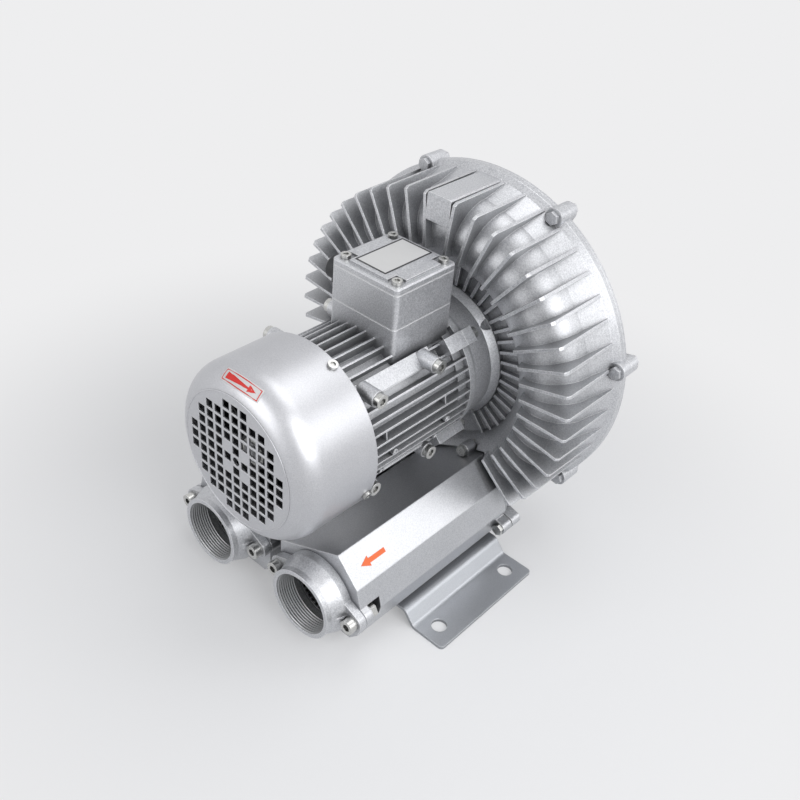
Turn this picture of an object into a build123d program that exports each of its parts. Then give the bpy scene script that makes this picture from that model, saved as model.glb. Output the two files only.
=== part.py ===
from build123d import *
import os
from math import asin, cos, degrees, radians, sin, sqrt

# Side channel blower: a ribbed double-sided side channel casing driven by a fan-cooled motor, with two
# silencers under the motor and a bent sheet foot. Millimetres, +Z up. The shaft runs along +Y from the
# motor fan to the impeller. The origin is on the floor, at the centre of the four foot holes.

# ---- driving dimensions ----
shaft_height = 173.0

# blower casing
joint_y = 131.5                # plane where the casing halves meet
rim_thickness = 5.0
rim_reach = 5.0                # how far the rim stands out of the wall in front of it
channel_centre_radius = 118.0
channel_radius = 28.0
casing_wall = 4.0
wall_flare = 6.5               # how far the outer wall opens from the channel to the rim
hub_wall = 8.0
casing_bore_radius = 40.0
rib_pitch = 7.83               # angle between ribs, which are laid out evenly from the top down each side
first_rib = 5.8
rib_thickness = 2.8
rib_rise_rim = 1.0             # height over the outer wall at the rim
rib_rise_corner = 6.5          # height over the outer wall at the front corner
rib_rise_crest = 8.5           # height over the crest of the channel in front
cover_rib_rise = 4.3           # height over the crest of the channel at the back
hub_rib_rise = 5.0
lug_count = 7
lug_reach = 7.0                # how far a bolt lug stands out of the rim
lug_width = 16.0
lug_depth = 12.0
casing_bolt_radius = 3.0
casing_head_radius = 6.0
casing_head_height = 4.0
casing_nut_height = 5.0
eye_pad_width = 25.0
eye_pad_height = 24.5
stripper_angle = 16.0

# impeller
impeller_width = 35.7
axial_gap = 0.4
radial_gap = 0.5
blade_count = 40
blade_thickness = 2.4
impeller_web = 4.0
impeller_hub_radius = 24.0

# motor
shield_length = 45.0
shield_foot_radius = 67.0
shield_waist = 62.5
frame_length = 137.0
frame_bore_radius = 52.0
frame_wall = 6.0
fin_reach = 8.0
fin_thickness = 2.4
fin_angle = 9.0
stator_length = 70.0
stator_bore_radius = 32.0
air_gap = 0.5
end_shield_thickness = 8.0
shaft_radius = 14.0
impeller_seat_radius = 12.0
front_journal_radius = 12.5
rear_journal_radius = 10.0
fan_seat_radius = 9.0
front_bearing_radius = 26.0
front_bearing_width = 15.0
rear_bearing_radius = 23.5
rear_bearing_width = 14.0
ball_count = 8

# fan cover
fan_space = 66.0               # from the frame's rear face to the front of the grille
fan_cover_radius = 77.0
fan_cover_length = 75.8
fan_cover_sheet = 1.5
grille_radius = 59.0
cover_shoulder = 24.0
grille_pitch = 9.8
grille_hole = 7.5
grille_reach = 26              # holes are cut where i*i + j*j stays within this
fan_radius = 64.0
fan_depth = 22.0
fan_blade_count = 8

# terminal box
box_width = 71.2
box_depth = 71.2
box_centre_y = 5.6
box_base_height = 79.2         # top of the cast base over the shaft
box_body_height = 29.8
lid_thickness = 5.0
lid_pad = 2.0
box_wall = 3.5
box_corner = 4.0
box_gasket = 1.0
cable_entry_radius = 10.0
cable_entry_spacing = 34.0
terminal_pitch = 14.7

# frame bosses
boss_radius = 7.0
boss_end_x = 60.0
boss_upper_z = 48.0
boss_lower_z = -40.0
boss_rear_y = -71.0
boss_spacing = 69.0

# silencers and ports
port_x = 57.5
port_z = 48.5
port_thread_radius = 28.33     # minor radius of a G2 pipe thread
port_rim_radius = 32.3
port_neck = 17.1
port_plate = 7.0
port_gasket = 1.0
port_ear_x = 44.0
port_ear_radius = 9.0
port_flare = 4.5               # how far the neck opens towards the flange plate
nut_pocket_half = 9.5
nut_pocket_length = 14.0
port_nut_radius = 7.5
port_nut_height = 6.5
port_screw_radius = 4.0
silencer_length = 192.2
silencer_wall = 3.5
silencer_front_wall = 8.0
silencer_bottom = 16.0
silencer_outer_x = 105.0
duct_room = 1.5                # clearance between a silencer and the casing ribs beside it
duct_setback = 15.0            # from the casing's hub wall forward to the duct joint
duct_gasket = 1.0
mesh_tube_wall = 1.0
liner_gap = 0.3

# foot
foot_sheet = 3.0
foot_length = 130.0
foot_width = 296.0
foot_hole_x = 260.0
foot_hole_y = 95.0
foot_hole_radius = 7.0
foot_flange = 34.0
foot_slope_run = 11.0
foot_bend = 5.0                # inside radius of a bend
foot_corner = 4.0

# small parts
key_width = 6.0
key_length = 18.0
hub_recess = 10.0
key_depth = 3.5
key_proud = 2.5
end_bolt_radius = 4.0
end_bolt_length = 18.0
end_washer = 3.0
seal_radius = 20.0
wave_spring = 1.5
boss_screw_radius = 3.0
tie_circle = 68.0
tie_lug_half = 7.0
tie_angles = (45.0, 135.0, 225.0, 315.0)
tie_screw_radius = 3.0
tie_head_radius = 5.0
rear_screw_radius = 2.5
rear_head_radius = 4.4
rear_screw_grip = 4.0
cover_screw_radius = 2.0
cover_screw_angles = (68.0, 158.0, 248.0, 338.0)
lid_screw_radius = 2.5
lid_screw_grip = 8.0
port_head_radius = 6.5
joint_screw_radius = 3.0
joint_lug_radius = 6.0
joint_lug_length = 12.0
foot_screw_radius = 3.0

fit = 0.05                     # radial clearance of a running or sliding fit
seat = 0.3                     # clearance between curved faces that only lie near each other

# ---- places that follow from the dimensions ----
channel_y = joint_y - impeller_width - 2 * axial_gap
hub_face_y = channel_y - hub_wall
wall_radius = channel_radius + casing_wall
casing_radius = channel_centre_radius + wall_radius
rim_wall_radius = casing_radius + wall_flare
rim_radius = rim_wall_radius + rim_reach
crest_y = channel_y - wall_radius
frame_front_y = hub_face_y - shield_length
frame_rear_y = frame_front_y - frame_length
grille_y = frame_rear_y - fan_space
cover_edge_y = grille_y + fan_cover_length
frame_radius = frame_bore_radius + frame_wall
fin_radius = frame_radius + fin_reach
stator_y = (frame_front_y + frame_rear_y) / 2
duct_joint_y = hub_face_y - duct_setback
silencer_rear_y = duct_joint_y - duct_gasket
silencer_front_y = silencer_rear_y - silencer_length
port_plate_y = silencer_front_y - port_gasket
port_mouth_y = port_plate_y - port_plate - port_neck
front_bearing_y = frame_front_y + 8.0
rear_bearing_y = frame_rear_y - 4.0
fan_y = frame_rear_y - 46.0
rear_screw_circle = frame_radius - 2.5
bolt_circle = rim_radius + lug_reach - lug_width / 2
foot_top = silencer_bottom

lift = Pos(0, 0, shaft_height)
lower = Pos(0, 0, -shaft_height)


# ---- helpers ----
def outline(*points):
    return make_face(Polyline(*points, close=True).edges())


def turned(*points):
    """Solid of revolution about the shaft axis, from (radius, y) points."""
    return revolve(outline(*points), Axis.Y)


def sleeve(outer, inner, y0, y1):
    return turned((inner, y0), (outer, y0), (outer, y1), (inner, y1))


def around(angle, part):
    """Turn a part made on the +X side about the shaft, by an angle from +X towards +Z."""
    return Rot(0, -angle, 0) * part


def prism(sketch, y0, y1):
    """Extrude a sketch drawn in (x, z) from y0 to y1."""
    face_plane = Plane(origin=(0, y1, 0), x_dir=(1, 0, 0), z_dir=(0, -1, 0))
    return face_plane.location * extrude(sketch, y1 - y0)


def rod(x, z, radius, y0, y1):
    return prism(Pos(x, z) * Circle(radius), y0, y1)


def block(x0, x1, y0, y1, z0, z1):
    size = (x1 - x0, y1 - y0, z1 - z0)
    return Pos((x0 + x1) / 2, (y0 + y1) / 2, (z0 + z1) / 2) * Box(*size)


def cap_screw(radius, length, head_radius, head_height):
    """Socket cap screw along +Z, its head standing on z = 0 and its shank below."""
    shank = Pos(0, 0, -length) * Cylinder(radius, length, align=(Align.CENTER, Align.CENTER, Align.MIN))
    head = Cylinder(head_radius, head_height, align=(Align.CENTER, Align.CENTER, Align.MIN))
    socket = Pos(0, 0, head_height / 2) * extrude(RegularPolygon(head_radius * 0.55, 6), head_height / 2)
    return shank + (head - socket)


def hex_screw(radius, length, head_radius, head_height):
    """Hexagon screw along +Z, its head standing on z = 0 and its shank below."""
    shank = Pos(0, 0, -length) * Cylinder(radius, length, align=(Align.CENTER, Align.CENTER, Align.MIN))
    return shank + extrude(RegularPolygon(head_radius, 6), head_height)


def facing(origin, direction):
    return Plane(origin=origin, z_dir=direction).location


def save(name, *parts):
    solids = []
    for part in parts:
        solids.extend(part.solids())
    shape = solids[0] if len(solids) == 1 else Compound(children=solids)
    export_step(shape, f"parts/{name}.step")


# ---- blower casing ----
def casing_outline(face_y, side):
    """Filled outline of one casing half in (radius, y): hub wall, channel crest, outer wall and rim."""
    hub_y = face_y + side * hub_wall
    rim_face = joint_y + side * rim_thickness
    inner_r = channel_centre_radius - sqrt(wall_radius ** 2 - hub_wall ** 2)
    if side < 0:
        wall = [(casing_radius, face_y), (rim_wall_radius, rim_face - rim_reach), (rim_radius, rim_face)]
    else:
        arc_end = channel_centre_radius + sqrt(wall_radius ** 2 - rim_thickness ** 2)
        wall = [(arc_end, rim_face), (rim_radius - 2, rim_face), (rim_radius, rim_face - 2)]
    crest = (channel_centre_radius, face_y + side * wall_radius)
    start = Polyline((rim_radius, joint_y), (0, joint_y), (0, hub_y), (inner_r, hub_y))
    arc = ThreePointArc((inner_r, hub_y), crest, wall[0])
    end = Polyline(*wall, (rim_radius, joint_y))
    return make_face(start.edges() + arc.edges() + end.edges())


def casing_inside(face_y, side, open_y):
    """Space inside one casing half: its half of the channel and the room for the impeller."""
    near = channel_centre_radius - channel_radius
    far = channel_centre_radius + channel_radius
    edges = [
        Line((0, open_y), (0, face_y)),
        Line((0, face_y), (near, face_y)),
        ThreePointArc((near, face_y), (channel_centre_radius, face_y + side * channel_radius), (far, face_y)),
        Line((far, face_y), (far, open_y)),
        Line((far, open_y), (0, open_y)),
    ]
    space = revolve(make_face(edges), Axis.Y)
    sector = outline(
        (near - 8, face_y), (far + 8, face_y),
        (far + 8, face_y + side * (channel_radius + 8)), (near - 8, face_y + side * (channel_radius + 8)),
    )
    stripper = revolve(sector, Axis.Y, revolution_arc=stripper_angle)
    return space - around(-90 - stripper_angle / 2, Rot(0, -stripper_angle, 0) * stripper)


def rib_plate():
    """Radial rib of the front half: back along the outer wall, flat over the crest and low over the hub."""
    rim_y = joint_y - rim_thickness - rim_reach
    corner = casing_radius + rib_rise_corner
    corner_y = crest_y - rib_rise_crest
    tip_r = channel_centre_radius - wall_radius / 3
    foot_r = shield_foot_radius + 1
    hub_rib_y = hub_face_y - hub_rib_rise
    sketch = outline(
        (channel_centre_radius, rim_y + 3), (rim_wall_radius - 1, rim_y + 3),
        (rim_wall_radius + rib_rise_rim, rim_y),
        (corner, corner_y + 3), (corner - 2, corner_y), (tip_r, corner_y), (tip_r - 9, hub_rib_y),
        (foot_r, hub_rib_y), (foot_r, hub_face_y + 2), (channel_centre_radius, channel_y - 2),
    )
    return Pos(0, 0, -rib_thickness / 2) * extrude(sketch, rib_thickness)


def cover_rib_plate():
    """Radial rib of the rear half, which follows the round of the channel."""
    reach = wall_radius + cover_rib_rise

    def over_crest(angle):
        turn = radians(angle)
        return channel_centre_radius + reach * cos(turn), joint_y + reach * sin(turn)

    hub_y = joint_y + hub_wall
    foot_r = shield_foot_radius + 1
    inner_r = channel_centre_radius - wall_radius
    start = Polyline(
        over_crest(120), (inner_r, hub_y + hub_rib_rise), (foot_r, hub_y + hub_rib_rise), (foot_r, hub_y - 2),
        (channel_centre_radius, joint_y + rim_thickness - 2),
        (rim_wall_radius - 2, joint_y + rim_thickness - 2),
        (rim_wall_radius - 2, joint_y + rim_thickness), over_crest(25),
    )
    arc = ThreePointArc(over_crest(25), over_crest(70), over_crest(120))
    sketch = make_face(start.edges() + arc.edges())
    return Pos(0, 0, -rib_thickness / 2) * extrude(sketch, rib_thickness)


def lug_angles():
    return [-90 + 360 / lug_count * k for k in range(lug_count)]


def bolt_lugs(y0, y1):
    """Rounded lugs on the rim, each made on the +X side and turned to its place."""
    inner = casing_radius - casing_wall / 2
    sketch = Pos(bolt_circle, 0) * Circle(lug_width / 2)
    sketch += Pos((bolt_circle + inner) / 2, 0) * Rectangle(bolt_circle - inner, lug_width)
    lug = prism(sketch, y0, y1)
    return [around(angle, lug) for angle in lug_angles()]


def bolt_holes():
    """Clearance holes through the lugs, with a round seat for each bolt's head."""
    head_y = joint_y - lug_depth
    hole = rod(bolt_circle, 0, casing_bolt_radius + seat, head_y - 1, joint_y + lug_depth + 1)
    hole += rod(bolt_circle, 0, casing_head_radius + seat, head_y - casing_head_height - 2, head_y)
    return [around(angle, hole) for angle in lug_angles()]


def silencer_points(side, inset=0.0):
    """Section of a silencer in (x, z); its top slopes to clear the motor above it."""
    floor = silencer_bottom + inset
    points = [
        (7 + inset, 68 - inset * 1.1), (74, 99 - inset * 1.2), (97 - inset, 76 - inset * 0.6),
        (silencer_outer_x - inset, 47), (silencer_outer_x - 4 - inset, 26), (92 - inset * 0.4, floor),
        (14 + inset * 0.4, floor), (7 + inset, 24),
    ]
    return [(side * x, z) for x, z in points]


def section_at(y, points):
    plane = Plane(origin=(0, y, 0), x_dir=(1, 0, 0), z_dir=(0, -1, 0))
    return plane.location * outline(*points)


def duct_stub(side):
    """Cast duct that runs from the joint with a silencer into the channel."""
    throat = [(12, 62), (60, 84), (80, 74), (86, 60), (82, 48), (72, 38), (22, 34), (12, 42)]
    start = section_at(duct_joint_y, silencer_points(side))
    end = section_at(channel_y + hub_wall, [(side * x, z) for x, z in throat])
    return lower * loft([start, end])


def duct_passage(side):
    wide = rod(side * port_x, port_z + 6, 26.0, duct_joint_y - 1, duct_joint_y + 13)
    narrow = rod(side * port_x, port_z + 11.5, 20.0, duct_joint_y, channel_y + 1)
    return lower * (wide + narrow)


def eye_pad():
    """Flat pad on top of the casing for a lifting eye, running back to the rim."""
    top = casing_radius + rib_rise_corner + 0.5
    front = crest_y - rib_rise_crest
    half = eye_pad_width / 2
    pad = block(-half, half, front, joint_y - rim_thickness / 2, top - eye_pad_height, top)
    return fillet(pad.edges().filter_by(Axis.Y).sort_by(Axis.Z)[-2:], 2.0)


def rib_angles():
    """Even steps from the top down both sides, as far as the ducts at the bottom."""
    last = 180 - 38
    count = int((last - first_rib) / rib_pitch) + 1
    return [90 + side * (first_rib + rib_pitch * k) for side in (-1, 1) for k in range(count)]


def blower_housing():
    body = revolve(casing_outline(channel_y, -1), Axis.Y)
    rib = rib_plate()
    extras = [around(angle, rib) for angle in rib_angles()]
    extras += bolt_lugs(joint_y - lug_depth, joint_y)
    extras += [eye_pad(), duct_stub(-1), duct_stub(1)]
    body = body + extras
    cuts = [casing_inside(channel_y, -1, joint_y + 1)]
    cuts += [sleeve(casing_bore_radius, 0, hub_face_y - 1, channel_y + 1)]
    cuts += [duct_passage(-1), duct_passage(1)] + bolt_holes()
    for side in (-1, 1):
        cuts.append(lower * prism(outline(*silencer_points(side, -duct_room)), crest_y - 20, duct_joint_y))
        for x, z in joint_screw_places(side):
            cuts.append(lower * rod(x, z, joint_lug_radius + duct_room, crest_y - 20, duct_joint_y))
    return body - cuts


def housing_cover():
    body = revolve(casing_outline(joint_y, 1), Axis.Y)
    rib = cover_rib_plate()
    ribs = [around(angle, rib) for angle in rib_angles()]
    body = body + ribs + bolt_lugs(joint_y, joint_y + rim_thickness * 2)
    return body - [casing_inside(joint_y, 1, joint_y - 1)] - bolt_holes()


def casing_bolts():
    """Hexagon bolts through the rim lugs, heads on the front side."""
    length = lug_depth + rim_thickness * 2 + casing_nut_height + 1.5
    bolt = hex_screw(casing_bolt_radius, length, casing_head_radius, casing_head_height)
    bolt = facing((bolt_circle, joint_y - lug_depth, 0), (0, -1, 0)) * bolt
    return [around(angle, bolt) for angle in lug_angles()]


def casing_nuts():
    seat_y = joint_y + rim_thickness * 2
    section = RegularPolygon(casing_head_radius, 6) - Circle(casing_bolt_radius + fit)
    nut = prism(Pos(bolt_circle, 0) * section, seat_y, seat_y + casing_nut_height)
    return [around(angle, nut) for angle in lug_angles()]


# ---- impeller and rotor ----
def impeller_end_y():
    """Plane where the shaft and the impeller's hub end, inside the impeller's width."""
    return joint_y - axial_gap - hub_recess


def impeller():
    """Overhung wheel with straight radial blades on both sides of a thin web."""
    y0, y1 = channel_y + axial_gap, joint_y - axial_gap
    mid = (y0 + y1) / 2
    tip = channel_centre_radius + channel_radius - radial_gap
    root = channel_centre_radius - channel_radius + 1
    web = impeller_web / 2
    disc = turned(
        (impeller_seat_radius + fit / 2, y0 + 4),
        (impeller_hub_radius, y0 + 4), (impeller_hub_radius + 4, mid - web),
        (root - 14, mid - web), (root - 6, y0), (root, y0), (root + 10, mid - web), (tip, mid - 1),
        (tip, mid + 1), (root + 10, mid + web), (root, y1), (root - 6, y1), (root - 14, mid + web),
        (impeller_hub_radius + 4, mid + web), (impeller_hub_radius, impeller_end_y()),
        (impeller_seat_radius + fit / 2, impeller_end_y()),
    )
    blade_face = outline((root - 3, y0), (tip, y0), (tip, y1), (root - 3, y1))
    blade = Pos(0, 0, -blade_thickness / 2) * extrude(blade_face, blade_thickness)
    blades = [around(360 / blade_count * k, blade) for k in range(blade_count)]
    key_slot = block(-key_width / 2, key_width / 2, y0 + 3, y1 - 3, 0, impeller_seat_radius + key_proud + fit)
    return disc + blades - key_slot


def shaft_profile():
    """Shaft steps in (radius, y), from the fan end to the impeller end."""
    fan_end = fan_y - 4.0
    rear_step = rear_bearing_y + rear_bearing_width
    front_step = front_bearing_y + front_bearing_width
    end_y = impeller_end_y()
    return [
        (0, fan_end), (fan_seat_radius, fan_end), (fan_seat_radius, rear_bearing_y - 4),
        (rear_journal_radius, rear_bearing_y - 4), (rear_journal_radius, rear_step),
        (shaft_radius, rear_step), (shaft_radius, front_bearing_y), (front_journal_radius, front_bearing_y),
        (front_journal_radius, front_step + 2), (impeller_seat_radius, front_step + 2),
        (impeller_seat_radius, end_y), (0, end_y),
    ]


def rotor_shaft():
    shaft = turned(*shaft_profile())
    y0 = channel_y + axial_gap + 4
    slot = block(-key_width / 2, key_width / 2, y0, y0 + key_length, impeller_seat_radius - key_depth, 20)
    end_y = impeller_end_y()
    return shaft - slot - rod(0, 0, end_bolt_radius, end_y - end_bolt_length, end_y + 1)


def impeller_key():
    y0 = channel_y + axial_gap + 4
    top = impeller_seat_radius + key_proud
    return block(-key_width / 2, key_width / 2, y0, y0 + key_length, impeller_seat_radius - key_depth, top)


def impeller_bolt():
    end_y = impeller_end_y() + end_washer
    screw = hex_screw(end_bolt_radius, end_bolt_length + end_washer - 1, 7.5, 5.3)
    return facing((0, end_y, 0), (0, 1, 0)) * screw


def impeller_washer():
    end_y = impeller_end_y()
    return sleeve(impeller_hub_radius - 6, end_bolt_radius + seat, end_y, end_y + end_washer)


def rotor_core():
    half = stator_length / 2
    outer = stator_bore_radius - air_gap
    core = sleeve(outer, shaft_radius, stator_y - half, stator_y + half)
    end_ring = sleeve(outer - 3, outer - 12, stator_y - half - 8, stator_y + half + 8)
    return core + end_ring


def bearing_rings(width, outer, bore, y0):
    """Outer ring, inner ring and balls of a deep-groove ball bearing."""
    pitch = (outer + bore) / 2
    ball = (outer - bore) * 0.29
    land = (outer - bore) * 0.22
    groove = revolve(Pos(pitch, y0 + width / 2) * Circle(ball + 0.15), Axis.Y)
    outer_ring = sleeve(outer, outer - land, y0, y0 + width) - groove
    inner_ring = sleeve(bore + land, bore, y0, y0 + width) - groove
    step = 360 / ball_count
    balls = [around(step * k, Pos(pitch, y0 + width / 2, 0) * Sphere(ball)) for k in range(ball_count)]
    return outer_ring, inner_ring, balls


# ---- motor ----
def fin_angles():
    """Fins all round the frame except under the terminal box."""
    count = int(360 / fin_angle)
    angles = [90 + 360 / count * (k + 0.5) for k in range(count)]
    return angles


def motor_frame():
    fin = Polygon((frame_radius - 2, -fin_thickness * 0.7), (fin_radius, -fin_thickness * 0.35),
                  (fin_radius, fin_thickness * 0.35), (frame_radius - 2, fin_thickness * 0.7), align=None)
    sketch = Circle(frame_radius)
    for angle in fin_angles():
        sketch += Rot(0, 0, angle) * fin
    sketch -= Circle(frame_bore_radius)
    body = prism(sketch, frame_rear_y, frame_front_y)
    for end_y in (frame_rear_y, frame_front_y - 10):
        body += sleeve(frame_radius + 3, frame_radius - 1, end_y, end_y + 10)
    half_w, half_d = box_width / 2, box_depth / 2
    y0, y1 = box_centre_y - half_d, box_centre_y + half_d
    base_z = frame_radius - 10
    pedestal = block(-half_w, half_w, y0, y1, base_z, box_base_height)
    pedestal = fillet(pedestal.edges().filter_by(Axis.Z), box_corner)
    pedestal -= sleeve(frame_radius - 1, 0, y0 - 1, y1 + 1)
    well = block(
        -half_w + box_wall, half_w - box_wall, y0 + box_wall, y1 - box_wall,
        fin_radius + 1, box_base_height + 1,
    )
    body = body + pedestal - well
    body -= Pos(0, box_centre_y, frame_bore_radius) * Cylinder(8, 40)
    post = Cylinder(5, box_base_height - fin_radius)
    post_z = (fin_radius + box_base_height) / 2
    posts = [Pos(x, box_centre_y + y, post_z) * post for x, y in box_screw_places()]
    body += posts
    bosses, holes = [], []
    for x_side, boss_y, boss_z in boss_places():
        inner = frame_bore_radius - 10
        long = boss_end_x - inner
        boss, hole = Cylinder(boss_radius, long), Cylinder(boss_screw_radius, 12)
        bosses.append(Pos(x_side * (inner + long / 2), boss_y, boss_z) * Rot(0, 90, 0) * boss)
        holes.append(Pos(x_side * (boss_end_x - 5), boss_y, boss_z) * Rot(0, 90, 0) * hole)
    for angle in boss_band_angles():
        band = block(frame_radius - 1, fin_radius + 0.5, *boss_band(), -boss_radius, boss_radius)
        body += around(angle, band)
    for boss in bosses:
        body += boss - sleeve(frame_bore_radius + 1, 0, frame_rear_y, frame_front_y)
    body -= holes
    for angle in tie_angles:
        lug = block(
            frame_radius - 1, tie_circle + 6, frame_front_y - 22, frame_front_y, -tie_lug_half, tie_lug_half
        )
        body += around(angle, lug)
    for angle in tie_angles:
        body -= around(angle, rod(tie_circle, 0, tie_screw_radius, frame_front_y - 18, frame_front_y + 1))
        hole = rod(rear_screw_circle, 0, rear_screw_radius, frame_rear_y - 1, frame_rear_y + 14)
        body -= around(angle, hole)
    for x, y in box_screw_places():
        body -= Pos(x, box_centre_y + y, box_base_height) * Cylinder(lid_screw_radius, 2 * lid_screw_grip)
    return body


def boss_band():
    """Length along the shaft of the raised bands that carry the bosses."""
    return boss_rear_y - boss_radius - 2, boss_rear_y + boss_spacing + boss_radius + 2


def boss_band_angles():
    angles = [degrees(asin(z / fin_radius)) for z in (boss_upper_z, boss_lower_z)]
    return angles + [180 - angle for angle in angles]


def boss_places():
    places = []
    for x_side in (-1, 1):
        for boss_z in (boss_upper_z, boss_lower_z):
            for k in range(2):
                places.append((x_side, boss_rear_y + boss_spacing * k, boss_z))
    return places


def boss_screws():
    screw = cap_screw(boss_screw_radius - fit, 10.0, 6.0, 5.0)
    return [facing((side * boss_end_x, y, z), (side, 0, 0)) * screw for side, y, z in boss_places()]


def box_screw_places():
    inset = 8.0
    x, y = box_width / 2 - inset, box_depth / 2 - inset
    return [(-x, -y), (x, -y), (x, y), (-x, y)]


def drive_end_shield():
    """End shield that carries the front bearing, flares to the casing and centres in its bore."""
    y0, y1 = frame_front_y, hub_face_y
    bearing_end = front_bearing_y + front_bearing_width
    seal_y = bearing_end + 8
    body = turned(
        (front_bearing_radius + fit / 2, y0 - 4),
        (front_bearing_radius + 9, y0 - 4), (frame_bore_radius - 4, y0 - 4),
        (frame_bore_radius - fit, y0 - 4), (frame_bore_radius - fit, y0),
        (fin_radius, y0), (fin_radius, y0 + 6),
        (shield_waist, y0 + 12), (shield_waist, y1 - 12),
        (shield_foot_radius, y1 - 5), (shield_foot_radius, y1),
        (casing_bore_radius - fit, y1), (casing_bore_radius - fit, channel_y - 1.5),
        (seal_radius, channel_y - 1.5), (seal_radius, seal_y), (impeller_seat_radius + 3, seal_y),
        (impeller_seat_radius + 3, bearing_end), (front_bearing_radius + fit / 2, bearing_end),
    )
    hollow = turned(
        (front_bearing_radius + 9, y0 + 4), (frame_bore_radius - 4, y0 + 4), (shield_waist - 7, y0 + 14),
        (shield_waist - 7, y1 - 9), (front_bearing_radius + 9, y1 - 9),
    )
    body = body - hollow - sleeve(frame_bore_radius - 4, front_bearing_radius + 9, y0 - 5, y0 + 5)
    for angle in tie_angles:
        lug = block(shield_waist - 1, tie_circle + 6, y0, y0 + 12, -tie_lug_half, tie_lug_half)
        body += around(angle, lug)
        body -= around(angle, rod(tie_circle, 0, tie_screw_radius + seat, y0 - 1, y0 + 40))
        body -= around(angle, rod(tie_circle, 0, tie_head_radius + seat, y0 + 12, y0 + 40))
    return body


def tie_screws():
    screw = cap_screw(tie_screw_radius - fit, 26, tie_head_radius, 6)
    screw = facing((tie_circle, frame_front_y + 12, 0), (0, 1, 0)) * screw
    return [around(angle, screw) for angle in tie_angles]


def rear_end_shield():
    y0, y1 = frame_rear_y - end_shield_thickness, frame_rear_y
    bearing_end = rear_bearing_y + rear_bearing_width
    outer = rear_bearing_radius + 7
    body = turned(
        (rear_journal_radius + 1, y0), (outer + 4, y0), (frame_radius + 2, y1 - 5), (frame_radius + 2, y1),
        (frame_bore_radius - fit, y1), (frame_bore_radius - fit, y1 + 4), (frame_bore_radius - 5, y1 + 4),
        (frame_bore_radius - 5, y1), (outer, y1), (outer - 2, bearing_end),
        (rear_bearing_radius + fit / 2, bearing_end),
        (rear_bearing_radius + fit / 2, rear_bearing_y - wave_spring),
        (rear_journal_radius + 1, rear_bearing_y - wave_spring),
    )
    for angle in tie_angles:
        body -= around(angle, rod(rear_screw_circle, 0, rear_screw_radius + seat, y0 - 1, y1 + 1))
        seat_cut = rod(rear_screw_circle, 0, rear_head_radius + seat, y0 - 1, y1 - rear_screw_grip)
        body -= around(angle, seat_cut)
    return body


def rear_shield_screws():
    y = frame_rear_y - rear_screw_grip
    screw = cap_screw(rear_screw_radius - fit, rear_screw_grip + 11, rear_head_radius, 4.5)
    return [around(angle, facing((rear_screw_circle, y, 0), (0, -1, 0)) * screw) for angle in tie_angles]


def wave_spring_ring():
    outer = rear_bearing_radius - 1
    return sleeve(outer, outer - 4, rear_bearing_y - wave_spring, rear_bearing_y)


def stator_core():
    half = stator_length / 2
    core = sleeve(frame_bore_radius, stator_bore_radius, stator_y - half, stator_y + half)
    slot = Pos(stator_bore_radius + 6.5, 0) * Rectangle(15, 3.4)
    slot = prism(slot, stator_y - half - 1, stator_y + half + 1)
    return core - [around(15 * k, slot) for k in range(24)]


def windings():
    """The two bundled coil ends, tied to the faces of the stator core."""
    half = stator_length / 2
    rings = []
    for side in (-1, 1):
        y0 = stator_y + side * half
        y1 = y0 + side * 17
        ring = turned(
            (stator_bore_radius + 3, y0), (frame_bore_radius - 5, y0), (frame_bore_radius - 4, (y0 + y1) / 2),
            (frame_bore_radius - 8, y1), (stator_bore_radius + 6, y1),
        )
        rings.append(ring)
    return rings


def shaft_seal():
    y0 = front_bearing_y + front_bearing_width + 8
    return sleeve(seal_radius, impeller_seat_radius + fit, y0, channel_y - 2.5)


def cooling_fan():
    y0, y1 = fan_y, fan_y + fan_depth
    plate = turned(
        (fan_seat_radius + fit / 2, y0 - 2), (fan_seat_radius + 6, y0 - 2), (fan_seat_radius + 7, y1 - 5),
        (fan_radius, y1 - 3), (fan_radius, y1), (fan_seat_radius + fit / 2, y1),
    )
    blade_face = outline((fan_seat_radius + 4, y0 + 3), (fan_radius * 0.6, y0), (fan_radius, y0 + 6),
                         (fan_radius, y1 - 1), (fan_seat_radius + 4, y1 - 1))
    blade = Pos(0, 0, -1) * extrude(blade_face, 2)
    return plate + [around(360 / fan_blade_count * k, blade) for k in range(fan_blade_count)]


def fan_clip():
    """Retaining ring in front of the fan."""
    return sleeve(fan_seat_radius + 3, fan_seat_radius + fit / 2, fan_y - 3.2, fan_y - 2)


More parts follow.
